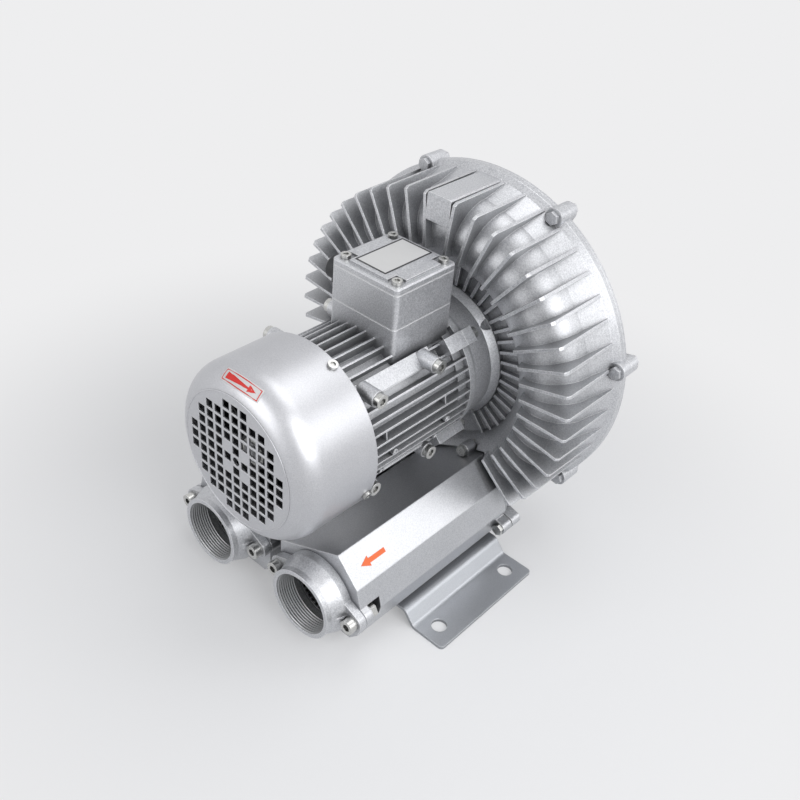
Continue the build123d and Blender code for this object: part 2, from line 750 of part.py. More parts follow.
def fan_cover():
    """Pressed sheet cover: flat grille, rounded shoulder, cylinder over the rear of the frame."""
    y0 = grille_y
    outer, sheet = fan_cover_radius, fan_cover_sheet
    knee_r = grille_radius + (outer - grille_radius) * 0.72
    knee_y = y0 + cover_shoulder * 0.36

    def skin(radius, front, shoulder_r, shoulder_y, flat):
        return [
            Line((0, front), (flat, front)),
            ThreePointArc((flat, front), (shoulder_r, shoulder_y), (radius, y0 + cover_shoulder)),
            Line((radius, y0 + cover_shoulder), (radius, cover_edge_y)),
            Line((radius, cover_edge_y), (0, cover_edge_y)),
            Line((0, cover_edge_y), (0, front)),
        ]

    shell = revolve(make_face(skin(outer, y0, knee_r, knee_y, grille_radius)), Axis.Y)
    inner_r = outer - sheet
    core = skin(inner_r, y0 + sheet, knee_r - sheet * 0.7, knee_y + sheet * 0.7, grille_radius)
    shell -= revolve(make_face(core), Axis.Y)
    reach = int(sqrt(grille_reach))
    squares = []
    for i in range(-reach, reach + 1):
        for j in range(-reach, reach + 1):
            if i * i + j * j > grille_reach or abs(i) == abs(j) == 1 or i == j == 0:
                continue
            squares.append(Pos(i * grille_pitch, j * grille_pitch) * Rectangle(grille_hole, grille_hole))
    squares.append(Circle(grille_hole / 2))
    shell -= prism(Sketch() + squares, y0 - 1, y0 + sheet + 1)
    for angle in cover_screw_angles:
        shell -= around(angle, radial_rod(outer - 5, outer + 5, cover_screw_y(), cover_screw_radius + seat))
    return shell


def radial_rod(r0, r1, y, radius):
    return Pos((r0 + r1) / 2, y, 0) * Rot(0, 90, 0) * Cylinder(radius, r1 - r0)


def cover_screw_y():
    return cover_edge_y - 5.0


def cover_lugs_and_screws():
    """Lugs at the frame's rear end reach out to the cover and take its four screws."""
    inner_r = fan_cover_radius - fan_cover_sheet
    lugs, screws = [], []
    for angle in cover_screw_angles:
        lug = block(frame_radius - 1, inner_r, frame_rear_y, cover_edge_y, -5, 5)
        hole = radial_rod(inner_r - 8, inner_r + 1, cover_screw_y(), cover_screw_radius)
        curve = sleeve(inner_r - seat / 3, 0, frame_rear_y - 20, frame_front_y)
        lugs.append(around(angle, (lug & curve) - hole))
        screw = cap_screw(cover_screw_radius - fit, 8, 4.2, 2.6)
        screw = facing((fan_cover_radius + 0.1, cover_screw_y(), 0), (1, 0, 0)) * screw
        screws.append(around(angle, screw))
    return lugs, screws


# ---- terminal box ----
def boxed(z0, z1, wall=None):
    half_w, half_d = box_width / 2, box_depth / 2
    y0, y1 = box_centre_y - half_d, box_centre_y + half_d
    shape = fillet(block(-half_w, half_w, y0, y1, z0, z1).edges().filter_by(Axis.Z), box_corner)
    if wall:
        shape -= block(-half_w + wall, half_w - wall, y0 + wall, y1 - wall, z0 - 1, z1 + 1)
    return shape


def terminal_box_body():
    z0 = box_base_height + box_gasket
    z1 = z0 + box_body_height
    body = boxed(z0, z1, box_wall)
    posts = [Pos(x, box_centre_y + y, (z0 + z1) / 2) * Cylinder(5, z1 - z0) for x, y in box_screw_places()]
    body = body + posts
    for x, y in box_screw_places():
        body -= Pos(x, box_centre_y + y, (z0 + z1) / 2) * Cylinder(lid_screw_radius + seat, z1 - z0 + 2)
    for y in entry_places():
        body -= Pos(-box_width / 2, y, entry_z()) * Rot(0, 90, 0) * Cylinder(cable_entry_radius, 3 * box_wall)
    return body


def entry_places():
    return [box_centre_y + k * cable_entry_spacing / 2 for k in (-1, 1)]


def entry_z():
    return box_base_height + box_gasket + box_body_height / 2


def gasket(z0):
    shape = boxed(z0, z0 + box_gasket, box_wall)
    post = Pos(0, box_centre_y, z0 + box_gasket / 2) * Cylinder(5, box_gasket)
    posts = [Pos(x, y, 0) * post for x, y in box_screw_places()]
    shape = shape + posts
    for x, y in box_screw_places():
        shape -= Pos(x, box_centre_y + y, z0) * Cylinder(lid_screw_radius + seat, 4)
    return shape


def terminal_lid():
    z0 = lid_z()
    lid = boxed(z0, z0 + lid_thickness)
    lid = chamfer(lid.faces().sort_by(Axis.Z)[-1].edges(), 1.0)
    long_w, long_d = box_width - 10, box_depth - 30
    pad_z = z0 + lid_thickness + lid_pad / 2
    lid += Pos(0, box_centre_y, pad_z) * Box(long_w, long_d, lid_pad)
    lid += Pos(0, box_centre_y, pad_z) * Box(long_d, long_w, lid_pad)
    for x, y in box_screw_places():
        lid -= Pos(x, box_centre_y + y, z0) * Cylinder(lid_screw_radius + seat, 40)
    return lid


def lid_z():
    return box_base_height + box_body_height + 2 * box_gasket


def lid_screws():
    top = lid_z() + lid_thickness
    length = top - box_base_height + lid_screw_grip - 1
    screw = cap_screw(lid_screw_radius - fit, length, 4.3, 3.4)
    return [Pos(x, box_centre_y + y, top) * screw for x, y in box_screw_places()]


def terminal_block():
    z0 = fin_radius + 1
    body = Pos(0, box_centre_y, z0 + 6) * Box(44, 22, 12)
    for side in (-1, 1):
        body += Pos(side * terminal_pitch / 2, box_centre_y, z0 + 14) * Box(2, 22, 6)
    return body


def terminal_studs():
    z0 = fin_radius + 13
    studs = []
    for column in (-1, 0, 1):
        for row in (-1, 1):
            stud = Cylinder(2, 12, align=(Align.CENTER, Align.CENTER, Align.MIN))
            stud += extrude(RegularPolygon(4, 6), 3)
            studs.append(Pos(column * terminal_pitch, box_centre_y + row * 5.5, z0) * stud)
    return studs


def entry_fitting(y, with_hole):
    """Cable gland or blanking plug in a cable entry, its collar against the box wall."""
    x = -box_width / 2
    body = Rot(0, -90, 0) * (
        Pos(0, 0, -box_wall / 2) * Cylinder(cable_entry_radius - fit, box_wall)
        + extrude(RegularPolygon(cable_entry_radius + 3.5, 6), 6)
    )
    if with_hole:
        dome = Pos(0, 0, 6) * Cylinder(cable_entry_radius, 12, align=(Align.CENTER, Align.CENTER, Align.MIN))
        dome = chamfer(dome.faces().sort_by(Axis.Z)[-1].edges(), 3.0)
        body += Rot(0, -90, 0) * dome
        body -= Rot(0, -90, 0) * Cylinder(4.5, 80)
    return Pos(x, y, entry_z()) * body


# ---- silencers, ports and foot ----
def silencer(side):
    """Cast silencer tube, closed at the front round its port and open towards the casing."""
    outer = extrude_section(silencer_points(side), silencer_front_y, silencer_rear_y)
    inside = extrude_section(
        silencer_points(side, silencer_wall), silencer_front_y + silencer_front_wall, silencer_rear_y + 1
    )
    for x, z in joint_screw_places(side):
        outer += joint_lug(side, x, z, silencer_rear_y - joint_lug_length, silencer_rear_y)
    outer = outer - inside + (nut_pocket(side, silencer_wall - 1) & outer) - nut_pocket(side, 0)
    for ear in (-1, 1):
        length = silencer_front_wall if ear > 0 else silencer_front_wall + 8
        x = side * (port_x + ear * port_ear_x)
        outer += rod(x, port_z, port_ear_radius, silencer_front_y, silencer_front_y + length)
        outer -= rod(x, port_z, port_screw_radius, silencer_front_y - 1, silencer_front_y + 13)
    outer -= rod(side * port_x, port_z, port_thread_radius + 0.6, silencer_front_y - 1, silencer_front_y + 10)
    for x, z in joint_screw_places(side):
        lug_start = silencer_rear_y - joint_lug_length
        outer -= rod(x, z, joint_screw_radius + seat, lug_start - 1, silencer_rear_y + 1)
    for y in foot_screw_places():
        outer -= Pos(side * port_x, y, silencer_bottom) * Cylinder(foot_screw_radius, 2 * silencer_wall - 1)
    return outer


def nut_pocket(side, grow):
    """Pocket in the silencer's outer wall that gives room for the nut behind the flange's outer ear."""
    half = nut_pocket_half + grow
    near, far = port_x + port_ear_x - half, silencer_outer_x + port_ear_radius
    x0, x1 = sorted((side * near, side * far))
    y0 = silencer_front_y + silencer_front_wall
    return block(x0, x1, y0, y0 + nut_pocket_length + grow, port_z - half, port_z + half)


def extrude_section(points, y0, y1):
    return prism(outline(*points), y0, y1)


def joint_screw_places(side):
    """Screw places in (x, z), just outside the silencer's wall."""
    return [(side * (silencer_outer_x + 4.0), 34.0), (side * 56.0, 97.0)]


def joint_lug(side, x, z, y0, y1):
    """Lug round a joint screw, which reaches in to the wall beside it."""
    to_x, to_z = side * port_x - x, port_z - z
    step = joint_lug_radius * 1.5 / sqrt(to_x ** 2 + to_z ** 2)
    ends = Sketch() + [Pos(x + to_x * k, z + to_z * k) * Circle(joint_lug_radius) for k in (0, step)]
    return prism(make_hull(ends.edges()), y0, y1)


def duct_lugs(side):
    """Lugs on the casing's duct that take the silencer's joint screws."""
    y0, y1 = duct_joint_y, duct_joint_y + joint_lug_length
    lugs = [joint_lug(side, x, z, y0, y1) for x, z in joint_screw_places(side)]
    holes = [rod(x, z, joint_screw_radius, y0 - 1, y1 - 1) for x, z in joint_screw_places(side)]
    return lower * (Part() + lugs), [lower * hole for hole in holes]


def joint_screws():
    screws = []
    for side in (-1, 1):
        for x, z in joint_screw_places(side):
            origin = (x, silencer_rear_y - joint_lug_length, z)
            screws.append(facing(origin, (0, -1, 0)) * hex_screw(joint_screw_radius - fit, 22, 5.5, 4.0))
    return screws


def joint_gaskets():
    gaskets = []
    for side in (-1, 1):
        ring = extrude_section(silencer_points(side), silencer_rear_y, duct_joint_y)
        window = silencer_points(side, silencer_wall + 4)
        ring -= extrude_section(window, silencer_rear_y - 1, duct_joint_y + 1)
        gaskets.append(ring)
    return gaskets


def port_flange(side):
    """Two-eared flange with a threaded neck and a gusset over each ear."""
    x = side * port_x
    y1 = port_plate_y
    y0 = y1 - port_plate
    sketch = Pos(x, port_z) * Circle(port_rim_radius + port_flare)
    for ear in (-1, 1):
        ear_end = Pos(x + ear * port_ear_x, port_z) * Circle(port_ear_radius)
        sketch += make_hull((ear_end + Pos(x, port_z) * Circle(port_rim_radius - 6)).edges())
    body = prism(sketch, y0, y1)
    body += rod(x, port_z, port_rim_radius, port_mouth_y, y0)
    collar = Cone(port_rim_radius + port_flare, port_rim_radius - 0.5, port_neck - 4,
                  align=(Align.CENTER, Align.CENTER, Align.MIN))
    body += Pos(x, y0, port_z) * Rot(90, 0, 0) * collar
    for ear in (-1, 1):
        near, far = x + ear * (port_rim_radius - 3), x + ear * (port_ear_x - 3)
        gusset = Plane(origin=(0, 0, port_z - 3)).location * extrude(
            outline((near, y0 + 1), (far, y0 + 1), (near, y0 - port_neck + 3)), 6)
        gusset -= rod(x + ear * port_ear_x, port_z, port_head_radius + 1, y0 - 20, y0)
        body += gusset
        body -= rod(x + ear * port_ear_x, port_z, port_screw_radius + seat, y0 - 1, y1 + 1)
    bore = rod(x, port_z, port_thread_radius, port_mouth_y - 1, y1 + 1)
    return body - bore


def port_seal(side):
    x = side * port_x
    sketch = Pos(x, port_z) * Circle(port_rim_radius + port_flare)
    for ear in (-1, 1):
        ear_end = Pos(x + ear * port_ear_x, port_z) * Circle(port_ear_radius)
        sketch += make_hull((ear_end + Pos(x, port_z) * Circle(port_rim_radius - 6)).edges())
        sketch -= Pos(x + ear * port_ear_x, port_z) * Circle(port_screw_radius + seat)
    sketch -= Pos(x, port_z) * Circle(port_thread_radius + 0.3)
    return prism(sketch, port_plate_y, silencer_front_y)


def port_screws():
    screws = []
    for side in (-1, 1):
        for ear in (-1, 1):
            origin = (side * (port_x + ear * port_ear_x), port_plate_y - port_plate, port_z)
            length = 18 if ear < 0 else port_plate + port_gasket + silencer_front_wall + port_nut_height + 1.5
            screw = cap_screw(port_screw_radius - fit, length, port_head_radius, 7.5)
            screws.append(facing(origin, (0, -1, 0)) * screw)
    return screws


def port_nuts():
    """Nuts in the silencers' pockets, on the screws of the outer ears."""
    y0 = silencer_front_y + silencer_front_wall
    section = RegularPolygon(port_nut_radius, 6) - Circle(port_screw_radius + fit)
    nut_x = port_x + port_ear_x
    return [prism(Pos(side * nut_x, port_z) * section, y0, y0 + port_nut_height) for side in (-1, 1)]


def mesh_tube(side):
    """Thin perforated tube that carries the air through the silencer's lining."""
    outer = port_thread_radius - 0.3
    y0, y1 = silencer_front_y + 1, silencer_rear_y - 12
    x = side * port_x
    return rod(x, port_z, outer, y0, y1) - rod(x, port_z, outer - mesh_tube_wall, y0 - 1, y1 + 1)


def foam_liner(side):
    """Foam block round the mesh tube, filling the silencer."""
    y0, y1 = silencer_front_y + silencer_front_wall + 8.6, silencer_rear_y - 14
    lining = extrude_section(silencer_points(side, silencer_wall + liner_gap), y0, y1)
    lining -= nut_pocket(side, silencer_wall - 1 + liner_gap)
    return lining - rod(side * port_x, port_z, port_thread_radius, y0 - 1, y1 + 1)


def foot_screw_places():
    return (-foot_length / 2 + 14, foot_length / 2 - 14)


def foot_plate():
    """One bent sheet: a flat middle under the silencers and a lower flange along each side."""
    half, inner = foot_width / 2, foot_width / 2 - foot_flange
    top = inner - foot_slope_run
    t = foot_sheet
    drop = foot_top - t
    skew = t * (sqrt(foot_slope_run ** 2 + drop ** 2) - foot_slope_run) / drop
    points = [
        (-half, 0), (-inner, 0), (-top, drop), (top, drop), (inner, 0), (half, 0),
        (half, t), (inner + skew, t), (top + skew, drop + t),
        (-top - skew, drop + t), (-inner - skew, t), (-half, t),
    ]
    profile = outline(*points)
    for place, height, radius in (
        (inner, 0, foot_bend + t), (inner + skew, t, foot_bend),
        (top, drop, foot_bend), (top + skew, drop + t, foot_bend + t),
    ):
        bend = [v for v in profile.vertices() if abs(abs(v.X) - place) < 0.01 and abs(v.Y - height) < 0.01]
        profile = fillet(bend, radius)
    plate = prism(profile, -foot_length / 2, foot_length / 2)
    corners = [e for e in plate.edges().filter_by(Axis.Z) if abs(abs(e.center().X) - half) < 0.1]
    plate = fillet(corners, foot_corner)
    for x in (-1, 1):
        for y in (-1, 1):
            place = (x * foot_hole_x / 2, y * foot_hole_y / 2, 0)
            plate -= Pos(*place) * Cylinder(foot_hole_radius, 4 * t)
        for y in foot_screw_places():
            plate -= Pos(x * port_x, y, foot_top) * Cylinder(foot_screw_radius + seat, 4 * t)
    return plate


def foot_screws():
    screw = hex_screw(foot_screw_radius - fit, foot_sheet + silencer_wall - 1, 5.8, 4.0)
    return [
        facing((x * port_x, y, foot_top - foot_sheet), (0, 0, -1)) * screw
        for x in (-1, 1) for y in foot_screw_places()
    ]


# ---- write one file per piece ----
os.makedirs("parts", exist_ok=True)
housing = blower_housing()
for side in (-1, 1):
    lugs, holes = duct_lugs(side)
    housing = housing + (lugs - sleeve(casing_radius - 2, 0, duct_joint_y, joint_y)) - holes
save("blower_housing", lift * housing)
save("housing_cover", lift * housing_cover())
save("casing_bolts", *[lift * part for part in casing_bolts()])
save("casing_nuts", *[lift * part for part in casing_nuts()])

save("impeller", lift * impeller())
save("rotor_shaft", lift * rotor_shaft())
save("impeller_key", lift * impeller_key())
save("impeller_bolt", lift * impeller_bolt())
save("impeller_washer", lift * impeller_washer())
save("rotor_core", lift * rotor_core())
front = bearing_rings(front_bearing_width, front_bearing_radius, front_journal_radius, front_bearing_y)
rear = bearing_rings(rear_bearing_width, rear_bearing_radius, rear_journal_radius, rear_bearing_y)
for end, (outer_ring, inner_ring, balls) in (("front", front), ("rear", rear)):
    save(f"{end}_bearing_outer_ring", lift * outer_ring)
    save(f"{end}_bearing_inner_ring", lift * inner_ring)
    save(f"{end}_bearing_balls", *[lift * ball for ball in balls])
save("cooling_fan", lift * cooling_fan())
save("fan_clip", lift * fan_clip())

lugs, cover_screws = cover_lugs_and_screws()
save("motor_frame", lift * (motor_frame() + lugs))
save("boss_screws", *[lift * part for part in boss_screws()])
save("drive_end_shield", lift * drive_end_shield())
save("shield_screws", *[lift * part for part in tie_screws()])
save("rear_end_shield", lift * rear_end_shield())
save("rear_shield_screws", *[lift * part for part in rear_shield_screws()])
save("wave_spring", lift * wave_spring_ring())
save("stator_core", lift * stator_core())
save("stator_windings", *[lift * part for part in windings()])
save("shaft_seal", lift * shaft_seal())
save("fan_cover", lift * fan_cover())
save("fan_cover_screws", *[lift * part for part in cover_screws])

save("terminal_box_body", lift * terminal_box_body())
save("box_gasket", lift * gasket(box_base_height))
save("lid_gasket", lift * gasket(box_base_height + box_gasket + box_body_height))
save("terminal_lid", lift * terminal_lid())
save("lid_screws", *[lift * part for part in lid_screws()])
save("terminal_block", lift * terminal_block())
save("terminal_studs", *[lift * part for part in terminal_studs()])
save("cable_gland", lift * entry_fitting(entry_places()[0], True))
save("blanking_plug", lift * entry_fitting(entry_places()[1], False))

for side, name in ((-1, "inlet"), (1, "outlet")):
    save(f"{name}_silencer", silencer(side))
    save(f"{name}_flange", port_flange(side))
    save(f"{name}_flange_gasket", port_seal(side))
    save(f"{name}_mesh_tube", mesh_tube(side))
    save(f"{name}_foam_liner", foam_liner(side))
save("flange_screws", *port_screws())
save("flange_nuts", *port_nuts())
save("joint_gaskets", *joint_gaskets())
save("joint_screws", *joint_screws())
save("foot_plate", foot_plate())
save("foot_screws", *foot_screws())
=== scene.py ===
import bpy
from math import cos, pi, radians, sin
from mathutils import Matrix, Vector


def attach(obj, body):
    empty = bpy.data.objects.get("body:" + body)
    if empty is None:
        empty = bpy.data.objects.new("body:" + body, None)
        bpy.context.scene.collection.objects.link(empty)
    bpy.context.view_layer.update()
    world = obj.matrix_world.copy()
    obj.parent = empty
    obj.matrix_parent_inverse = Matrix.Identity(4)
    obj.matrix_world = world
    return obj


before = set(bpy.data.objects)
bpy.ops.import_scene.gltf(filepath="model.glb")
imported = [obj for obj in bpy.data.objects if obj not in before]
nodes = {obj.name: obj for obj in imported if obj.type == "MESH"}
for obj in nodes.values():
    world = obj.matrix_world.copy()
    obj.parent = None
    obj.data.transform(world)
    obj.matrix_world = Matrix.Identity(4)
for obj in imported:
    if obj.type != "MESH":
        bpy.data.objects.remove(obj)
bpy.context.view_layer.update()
mm = 0.001
shaftHeight = 173 * mm
port = {"x": 57.5, "z": 48.5}  # middle of the outlet's bore; the inlet's is at -x
print("frame loaded:", len(nodes), "nodes")


# helpers for pieces; lengths in the dictionaries of pieces are in millimetres
def clearSelection():
    if bpy.context.mode != "OBJECT":
        bpy.ops.object.mode_set(mode="OBJECT")
    bpy.ops.object.select_all(action="DESELECT")


def activate(piece):
    clearSelection()
    piece.select_set(True)
    bpy.context.view_layer.objects.active = piece


def applyModifier(piece, kind, **settings):
    modifier = piece.modifiers.new(kind.lower(), kind)
    for key, value in settings.items():
        setattr(modifier, key, value)
    activate(piece)
    bpy.ops.object.modifier_apply(modifier=modifier.name)


def placeInMesh(piece, matrix=None):
    # the place goes into the mesh, so that the object itself stays at the origin
    if matrix is not None:
        piece.matrix_world = matrix @ piece.matrix_world
    activate(piece)
    bpy.ops.object.transform_apply(location=True, rotation=True, scale=True)


def finishPiece(piece, name, material, body="root", smoothDegrees=None):
    piece.name = name
    piece.data.name = name
    piece.data.materials.clear()
    piece.data.materials.append(material)
    if smoothDegrees:
        activate(piece)
        bpy.ops.object.shade_smooth_by_angle(angle=radians(smoothDegrees))
    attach(piece, body)
    print("piece:", name, len(piece.data.polygons), "faces")


def copyOf(piece):
    clone = piece.copy()
    clone.data = piece.data.copy()
    bpy.context.collection.objects.link(clone)
    return clone


def joinPieces(pieces):
    clearSelection()
    for piece in pieces:
        piece.select_set(True)
    bpy.context.view_layer.objects.active = pieces[0]
    bpy.ops.object.join()
    return bpy.context.object


def selectPoints(piece, test):
    # selects the points that pass the test and leaves edit mode on
    bpy.ops.object.mode_set(mode="EDIT")
    bpy.ops.mesh.select_mode(type="VERT")
    bpy.ops.mesh.select_all(action="DESELECT")
    bpy.ops.object.mode_set(mode="OBJECT")
    for vertex in piece.data.vertices:
        vertex.select = test(vertex.co)
    bpy.ops.object.mode_set(mode="EDIT")


# helpers for materials
def linear(hexColour):
    channels = [int(hexColour[i:i + 2], 16) / 255 for i in (1, 3, 5)]
    values = [c / 12.92 if c <= 0.04045 else ((c + 0.055) / 1.055) ** 2.4 for c in channels]
    return (*values, 1.0)


def addNode(owner, kind, inputs, **settings):
    # one node with its settings; each input is a value or another node's output
    node = owner.node_tree.nodes.new(kind)
    for key, value in settings.items():
        setattr(node, key, value)
    for key, value in inputs.items():
        if isinstance(value, bpy.types.NodeSocket):
            owner.node_tree.links.new(value, node.inputs[key])
        else:
            node.inputs[key].default_value = value
    return node


def perMetre(sizeInMm):
    return 1 / (sizeInMm * mm)


# what every surface shares, unless its own settings say otherwise; a range is what runs from none to all
# the darkening by ambient occlusion below, towards a near-black colour in corners, recesses and gaps between
# parts, is painted shade
shared = {"paintedShadeColour": "#26272A", "cornerShade": 0.66, "cornerShadeMm": 26, "cornerShadeRange": (0.15, 0.85), "cornerShadeSamples": 6,
          "rubAndEdgeHighlightRange": (0.995, 0.86), "rubAndEdgeHighlightSamples": 4, "fleckRange": (0.35, 0.65), "glossRange": (0.3, 0.7),
          "cloudDetail": 3.0, "cloudRoughness": 0.6, "grainDetail": 2.0, "grainRoughness": 0.7}


def surface(name, ownLook):
    # colour clouds, grain in gloss and relief, edges that are rounded and brighter, partly rubbed and partly
    # a painted highlight, and painted shade in corners and recesses
    look = {**shared, **ownLook}
    material = bpy.data.materials.new(name)
    material.use_nodes = True
    shader = material.node_tree.nodes["Principled BSDF"]
    shader.inputs["Metallic"].default_value = look["metallic"]
    place = addNode(material, "ShaderNodeTexCoord", {}).outputs["Object"]
    cloud, grain = [addNode(material, "ShaderNodeTexNoise", {
        "Vector": place, "Scale": perMetre(look[kind + "Mm"]), "Detail": look[kind + "Detail"],
        "Roughness": look[kind + "Roughness"]}).outputs["Fac"] for kind in ("cloud", "grain")]
    # edges brighten where the rounded normal leaves the flat one: partly rubbed paint, partly a painted
    # highlight
    rounded = addNode(material, "ShaderNodeBevel", {
        "Radius": look["edgeMm"] * mm}, samples=look["rubAndEdgeHighlightSamples"]).outputs["Normal"]
    flat = addNode(material, "ShaderNodeNewGeometry", {}).outputs["Normal"]
    likeness = addNode(
        material, "ShaderNodeVectorMath", {0: rounded, 1: flat}, operation="DOT_PRODUCT").outputs["Value"]
    # ambient occlusion: painted shade in corners, recesses and between parts
    openness = addNode(material, "ShaderNodeAmbientOcclusion", {
        "Distance": look["cornerShadeMm"] * mm}, samples=look["cornerShadeSamples"]).outputs["AO"]
    fleck, rubAndEdgeHighlight, cornerShade, gloss = [addNode(material, "ShaderNodeMapRange", {
        "Value": value, "From Min": look[kind + "Range"][0], "From Max": look[kind + "Range"][1],
        "To Min": low, "To Max": high}).outputs[0] for kind, value, low, high in (
            ("fleck", grain, 0.0, look["fleck"]),
            ("rubAndEdgeHighlight", likeness, 0.0, look["rubAndEdgeHighlight"]),
            ("cornerShade", openness, look["cornerShade"], 0.0),
            ("gloss", grain, look["roughness"] - look["spread"], look["roughness"] + look["spread"]))]
    colour = linear(look["dark"])
    # of the colour layers, the edge one is partly rubbed paint and partly a painted highlight, and the last
    # one is painted shade in corners, recesses and between parts
    for share, over in ((cloud, "light"), (fleck, "fleckAndEdgeHighlight"), (rubAndEdgeHighlight, "fleckAndEdgeHighlight"), (cornerShade, "paintedShadeColour")):
        # sockets 6 and 7 are the two colours of a mix node in colour mode
        colour = addNode(material, "ShaderNodeMix", {
            0: share, 6: colour, 7: linear(look[over])}, data_type="RGBA").outputs[2]
    link = material.node_tree.links.new
    link(colour, shader.inputs["Base Color"])
    link(gloss, shader.inputs["Roughness"])
    relief = addNode(material, "ShaderNodeBump", {
        "Height": grain, "Strength": look["bump"], "Distance": look["bumpMm"] * mm, "Normal": rounded})
    link(relief.outputs["Normal"], shader.inputs["Normal"])
    return material


# materials
castPaint = surface("sandCastAluminiumSilverPaint", {
    # sand casting under silver lacquer: fine pits, soft edges, satin gloss
    "light": "#BEBFC3", "dark": "#A6A8AC", "fleckAndEdgeHighlight": "#F0F1F3", "metallic": 0.75, "roughness": 0.42,
    "spread": 0.08, "fleck": 0.5, "rubAndEdgeHighlight": 0.9, "cloudMm": 26, "grainMm": 1.2, "bump": 0.38, "bumpMm": 0.22,
    "edgeMm": 0.8})
diePaint = surface("dieCastAluminiumSilverPaint", {
    # die casting under the same lacquer: smoother skin, wider highlights
    "light": "#BFC0C4", "dark": "#ABADB1", "fleckAndEdgeHighlight": "#EEEFF0", "metallic": 0.85, "roughness": 0.37,
    "spread": 0.06, "fleck": 0.35, "rubAndEdgeHighlight": 0.7, "cloudMm": 45, "grainMm": 1.1, "bump": 0.20, "bumpMm": 0.16,
    "edgeMm": 1.6})
sheetPaint = surface("pressedSteelSilverPaint", {
    # pressed sheet under sprayed lacquer: smooth, with fine metal flake
    "light": "#C0C1C5", "dark": "#B2B3B7", "fleckAndEdgeHighlight": "#F4F4F6", "metallic": 0.85, "roughness": 0.40,
    "spread": 0.05, "fleck": 0.25, "rubAndEdgeHighlight": 0.5, "cloudMm": 60, "grainMm": 0.8, "bump": 0.10, "bumpMm": 0.10,
    "edgeMm": 0.7})
footPaint = surface("bentSteelSilverPaint", {
    # bent foot plate under lacquer: a little darker and duller than the casting
    "light": "#B4B7BC", "dark": "#A6A9AE", "fleckAndEdgeHighlight": "#D8DADD", "metallic": 0.7, "roughness": 0.38,
    "spread": 0.05, "fleck": 0.2, "rubAndEdgeHighlight": 0.5, "cloudMm": 60, "grainMm": 0.9, "bump": 0.12, "bumpMm": 0.10,
    "edgeMm": 1.0})
jointPaint = surface("lacqueredGasket", {
    # gaskets were sprayed over with the casting, so they show as a fine darker line
    "light": "#8E9095", "dark": "#7C7E83", "fleckAndEdgeHighlight": "#A6A8AC", "metallic": 0.3, "roughness": 0.5,
    "spread": 0.05, "fleck": 0.2, "rubAndEdgeHighlight": 0.3, "cloudMm": 20, "grainMm": 0.8, "bump": 0.2, "bumpMm": 0.10,
    "edgeMm": 0.2})
rawCasting = surface("unpaintedCastAluminium", {
    # bare casting inside the machine: greyer and rougher than the painted skin
    "light": "#A8A9AA", "dark": "#8C8D8F", "fleckAndEdgeHighlight": "#C4C5C6", "metallic": 0.9, "roughness": 0.45,
    "spread": 0.08, "fleck": 0.3, "rubAndEdgeHighlight": 0.4, "cloudMm": 12, "grainMm": 0.8, "bump": 0.35, "bumpMm": 0.20,
    "edgeMm": 0.5})
seamPaint = surface("lacqueredSeam", {
    # seams of the terminal box: gasket flush with the casting and sprayed over, coloured lighter than the
    # casting as a painted highlight along the seams
    "light": "#DCDDDF", "dark": "#CFD0D2", "fleckAndEdgeHighlight": "#F2F2F3", "metallic": 0.4, "roughness": 0.4,
    "spread": 0.05, "fleck": 0.2, "rubAndEdgeHighlight": 0.3, "cloudMm": 20, "grainMm": 0.8, "bump": 0.1, "bumpMm": 0.05,
    "edgeMm": 0.2, "cornerShade": 0.0})
zincSteel = surface("zincPlatedSteel", {
    # zinc plated screws: bright, slightly mottled metal
    "light": "#CFCFCC", "dark": "#B0B0AE", "fleckAndEdgeHighlight": "#F0F0EE", "metallic": 1.0, "roughness": 0.30,
    "spread": 0.06, "fleck": 0.2, "rubAndEdgeHighlight": 0.6, "cloudMm": 12, "grainMm": 0.6, "bump": 0.06, "bumpMm": 0.04,
    "edgeMm": 0.4, "cornerShadeMm": 6})
groundSteel = surface("groundBearingSteel", {
    # ground bearing steel: clean and fairly sharp
    "light": "#BDBEC0", "dark": "#A8A9AC", "fleckAndEdgeHighlight": "#E0E0E0", "metallic": 1.0, "roughness": 0.20,
    "spread": 0.05, "fleck": 0.1, "rubAndEdgeHighlight": 0.3, "cloudMm": 10, "grainMm": 0.5, "bump": 0.05, "bumpMm": 0.03,
    "edgeMm": 0.3})
ironSheet = surface("varnishedIronLamination", {
    # stacked sheet iron under clear varnish: dark and dull
    "light": "#4A4A4D", "dark": "#38383B", "fleckAndEdgeHighlight": "#6A6A6C", "metallic": 0.6, "roughness": 0.5,
    "spread": 0.05, "fleck": 0.2, "rubAndEdgeHighlight": 0.3, "cloudMm": 8, "grainMm": 0.5, "bump": 0.3, "bumpMm": 0.10,
    "edgeMm": 0.2})
copperWire = surface("varnishedCopperWire", {
    # bundled enamelled wire under varnish: brown copper with a rope-like skin
    "light": "#8A4A24", "dark": "#5E2F16", "fleckAndEdgeHighlight": "#B06A3A", "metallic": 0.5, "roughness": 0.4,
    "spread": 0.08, "fleck": 0.4, "rubAndEdgeHighlight": 0.3, "cloudMm": 3, "grainMm": 1.0, "bump": 0.6, "bumpMm": 0.40,
    "edgeMm": 0.3})
blackRubber = surface("mouldedBlackRubber", {
    # moulded rubber: matt black
    "light": "#242424", "dark": "#1B1B1B", "fleckAndEdgeHighlight": "#333333", "metallic": 0.0, "roughness": 0.75,
    "spread": 0.05, "fleck": 0.1, "rubAndEdgeHighlight": 0.2, "cloudMm": 8, "grainMm": 0.5, "bump": 0.15, "bumpMm": 0.05,
    "edgeMm": 0.2})
